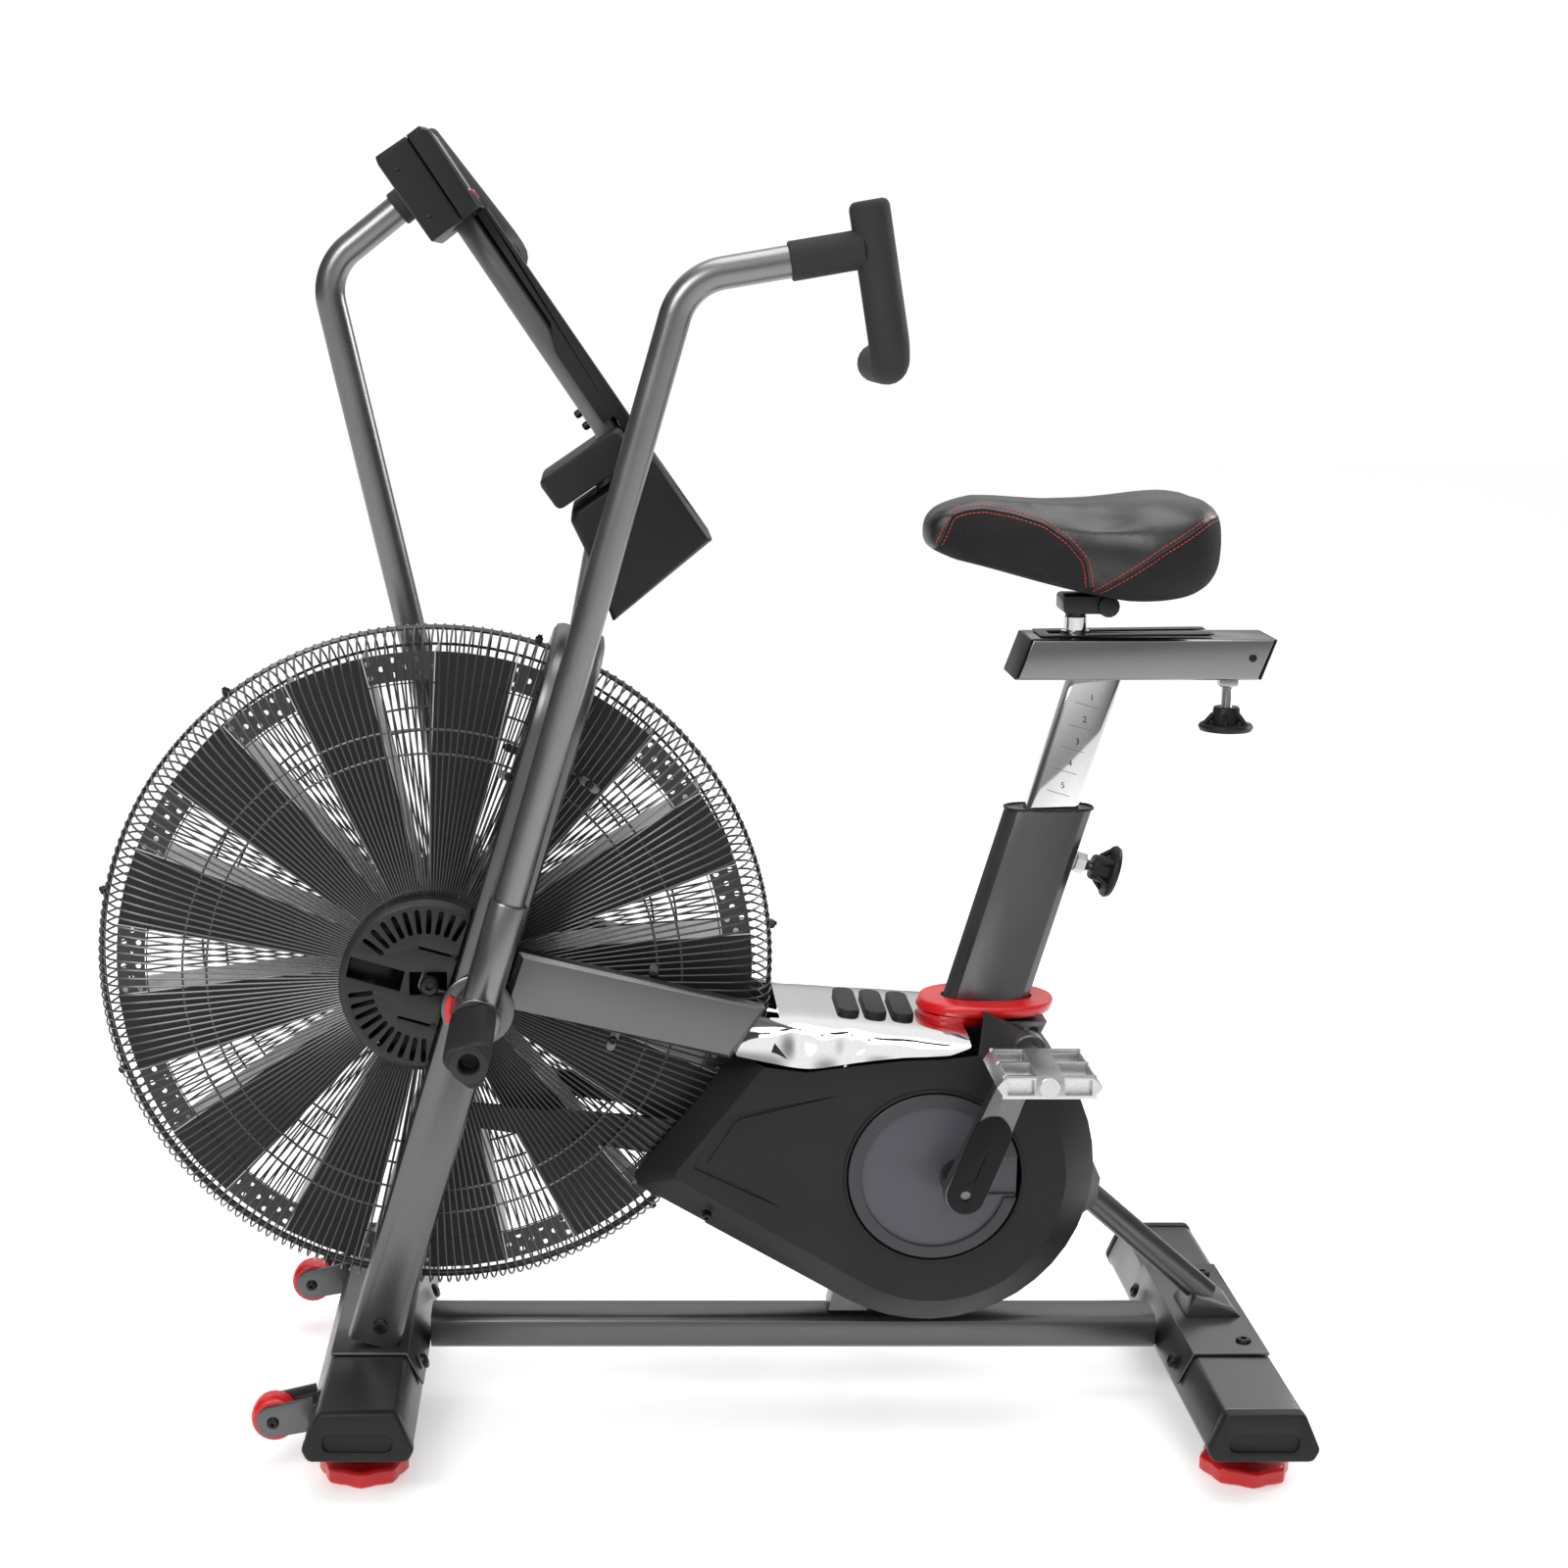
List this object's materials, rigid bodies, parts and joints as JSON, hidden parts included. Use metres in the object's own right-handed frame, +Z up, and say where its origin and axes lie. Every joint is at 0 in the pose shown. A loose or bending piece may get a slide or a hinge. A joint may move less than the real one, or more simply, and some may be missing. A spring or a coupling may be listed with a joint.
{
  "type": "air bike",
  "caption": "Exercise bike with a caged air-resistance fan, swinging arms that push and pull, pedals, a sliding padded seat, a console mast and levelling feet.",
  "frame": {"origin": "on the floor, at the middle of the whole bike's box seen from above", "axes": "+X from the fan to the seat, +Y to the rider's right, +Z up"},
  "size_m": [1.2921, 0.624, 1.4047],
  "materials": {
    "frame": "satin charcoal powder coat",
    "arm": "satin grey metallic powder coat",
    "plastic": "fine-textured black moulding",
    "disc": "satin grey moulding",
    "chrome": "polished",
    "red": "satin red moulding",
    "steel": "zinc plated",
    "dark_metal": "satin dark grey",
    "aluminium": "bright cast",
    "wire": "black coated wire",
    "blade": "dark coated sheet",
    "rubber": "matte",
    "foam": "matte closed-cell foam",
    "vinyl": "black synthetic leather"
  },
  "bodies": {
    "frame": {"boom_left": "frame", "boom_right": "frame", "bottle_holder": "plastic", "bottom_rail": "frame", "cage_left": "wire", "cage_right": "wire", "console_back": "plastic", "console_front": "plastic", "cover_left": "plastic", "cover_right": "plastic", "crank_disc_left": "disc", "crank_disc_right": "disc", "drive_belt": "rubber", "fan_axle": "steel", "foot_peg_left": "rubber", "foot_peg_right": "rubber", "fork": "frame", "front_cap_left": "plastic", "front_cap_right": "plastic", "front_saddle_plate": "frame", "front_stabiliser": "frame", "hub_cap_left": "plastic", "hub_cap_right": "plastic", "mast": "frame", "mast_cover": "plastic", "mast_pod": "plastic", "rear_brace": "frame", "rear_cap_left": "plastic", "rear_cap_right": "plastic", "rear_saddle_plate": "frame", "rear_stabiliser": "frame", "seat_collar": "red", "seat_tube": "frame", "top_shroud": "chrome"},
    "crank": {"crank_axle": "steel", "drive_pulley": "steel", "crank_arm_left": "dark_metal", "crank_arm_right": "dark_metal"},
    "fan": {"fan_rotor": "blade"},
    "pedal_left": {"pedal_left": "aluminium"},
    "pedal_right": {"pedal_right": "aluminium"},
    "arm_left": {"arm_left": "arm", "grip_left": "foam"},
    "arm_right": {"arm_right": "arm", "grip_right": "foam"},
    "link_left": {"link_rod_left": "dark_metal"},
    "link_right": {"link_rod_right": "dark_metal"},
    "seat_post": {"seat_post": "chrome", "slider_rail": "dark_metal"},
    "saddle": {"saddle_clamp": "steel", "saddle": "vinyl"},
    "slider_knob": {"slider_knob": "plastic"},
    "post_knob": {"post_knob": "plastic"},
    "wheel_left": {"transport_wheel_left": "red"},
    "wheel_right": {"transport_wheel_right": "red"},
    "front_foot_left": {"front_foot_left": "red"},
    "front_foot_right": {"front_foot_right": "red"},
    "rear_foot_left": {"rear_foot_left": "red"},
    "rear_foot_right": {"rear_foot_right": "red"},
    "console_button": {"console_button": "red"}
  },
  "joints": [
    {"name": "crank_spin", "type": "hinge", "parent": "frame", "child": "crank", "pos_m": [0.29, 0, 0.295], "axis": [0, 1, 0], "continuous": true},
    {"name": "fan_spin", "type": "hinge", "parent": "frame", "child": "fan", "pos_m": [-0.275, 0, 0.509], "axis": [0, 1, 0], "continuous": true},
    {"name": "pedal_left_spin", "type": "hinge", "parent": "crank", "child": "pedal_left", "pos_m": [0.35286, -0.244, 0.45295], "axis": [0, 1, 0], "continuous": true},
    {"name": "pedal_right_spin", "type": "hinge", "parent": "crank", "child": "pedal_right", "pos_m": [0.22714, 0.244, 0.13705], "axis": [0, 1, 0], "continuous": true},
    {"name": "left_arm_swing", "type": "hinge", "parent": "frame", "child": "arm_left", "pos_m": [-0.2243, -0.15, 0.4835], "axis": [0, 1, 0], "range_deg": [-28.6, 0]},
    {"name": "right_arm_swing", "type": "hinge", "parent": "frame", "child": "arm_right", "pos_m": [-0.2243, 0.15, 0.4835], "axis": [0, 1, 0], "range_deg": [0, 28.6]},
    {"name": "link_left_turn", "type": "hinge", "parent": "arm_left", "child": "link_left", "pos_m": [-0.25764, -0.0645, 0.35268], "axis": [0, 1, 0], "range_deg": [0, 28.6]},
    {"name": "link_right_turn", "type": "hinge", "parent": "arm_right", "child": "link_right", "pos_m": [-0.19096, 0.0645, 0.35268], "axis": [0, 1, 0], "range_deg": [-28.6, 0]},
    {"name": "seat_post_slide", "type": "slide", "parent": "frame", "child": "seat_post", "axis": [0.2817, 0, 0.9595], "range_m": [-0.1, 0.06]},
    {"name": "saddle_slide", "type": "slide", "parent": "seat_post", "child": "saddle", "axis": [1, 0, 0], "range_m": [-0.008, 0.125]},
    {"name": "slider_knob_turn", "type": "hinge", "parent": "seat_post", "child": "slider_knob", "pos_m": [0.582, 0, 0.8235], "axis": [0, 0, 1], "range_deg": [-180, 180]},
    {"name": "post_knob_pull", "type": "slide", "parent": "frame", "child": "post_knob", "axis": [0.9595, 0, -0.2817], "range_m": [0, 0.008], "stiffness_N_per_m": 500},
    {"name": "wheel_left_spin", "type": "hinge", "parent": "frame", "child": "wheel_left", "pos_m": [-0.44, -0.19, 0.058], "axis": [0, 1, 0], "continuous": true},
    {"name": "front_foot_left_turn", "type": "hinge", "parent": "frame", "child": "front_foot_left", "pos_m": [-0.345, -0.2, 0], "axis": [0, 0, 1], "range_deg": [-180, 180]},
    {"name": "rear_foot_left_turn", "type": "hinge", "parent": "frame", "child": "rear_foot_left", "pos_m": [0.589, -0.2, 0], "axis": [0, 0, 1], "range_deg": [-180, 180]},
    {"name": "wheel_right_spin", "type": "hinge", "parent": "frame", "child": "wheel_right", "pos_m": [-0.44, 0.19, 0.058], "axis": [0, 1, 0], "continuous": true},
    {"name": "front_foot_right_turn", "type": "hinge", "parent": "frame", "child": "front_foot_right", "pos_m": [-0.345, 0.2, 0], "axis": [0, 0, 1], "range_deg": [-180, 180]},
    {"name": "rear_foot_right_turn", "type": "hinge", "parent": "frame", "child": "rear_foot_right", "pos_m": [0.589, 0.2, 0], "axis": [0, 0, 1], "range_deg": [-180, 180]},
    {"name": "console_button_press", "type": "slide", "parent": "frame", "child": "console_button", "axis": [-0.8251, 0, -0.565], "range_m": [0, 0.0015], "stiffness_N_per_m": 300}
  ],
  "couplings": [
    {"joint": "fan_spin", "follows": "crank_spin", "ratio": 2.9333},
    {"joint": "right_arm_swing", "follows": "left_arm_swing", "ratio": -1},
    {"joint": "link_left_turn", "follows": "left_arm_swing", "ratio": -1},
    {"joint": "link_right_turn", "follows": "left_arm_swing", "ratio": 1}
  ]
}
